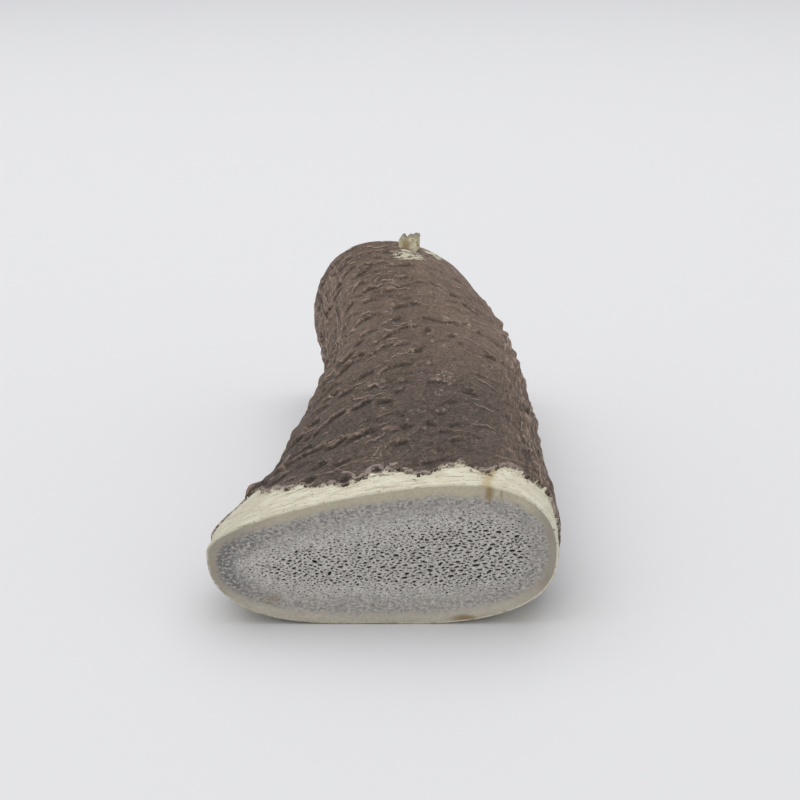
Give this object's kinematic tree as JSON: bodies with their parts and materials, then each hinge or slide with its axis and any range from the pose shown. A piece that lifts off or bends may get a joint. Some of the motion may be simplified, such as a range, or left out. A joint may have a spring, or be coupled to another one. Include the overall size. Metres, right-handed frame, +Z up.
{
  "type": "deer antler piece",
  "caption": "Sawn length of deer antler lying on its side, a broad oval cut at one end and a round cut at the other, used as a chew or craft blank.",
  "frame": {"origin": "middle of the bounding box's footprint, on the surface that the piece lies on", "axes": "+Y along the beam, from the broad oval cut to the round cut; +Z up; +X to the right seen from the oval cut"},
  "size_m": [0.0556, 0.1188, 0.036],
  "materials": {
    "antler_bone": null
  },
  "bodies": {
    "root": {"antler": "antler_bone"}
  },
  "joints": []
}
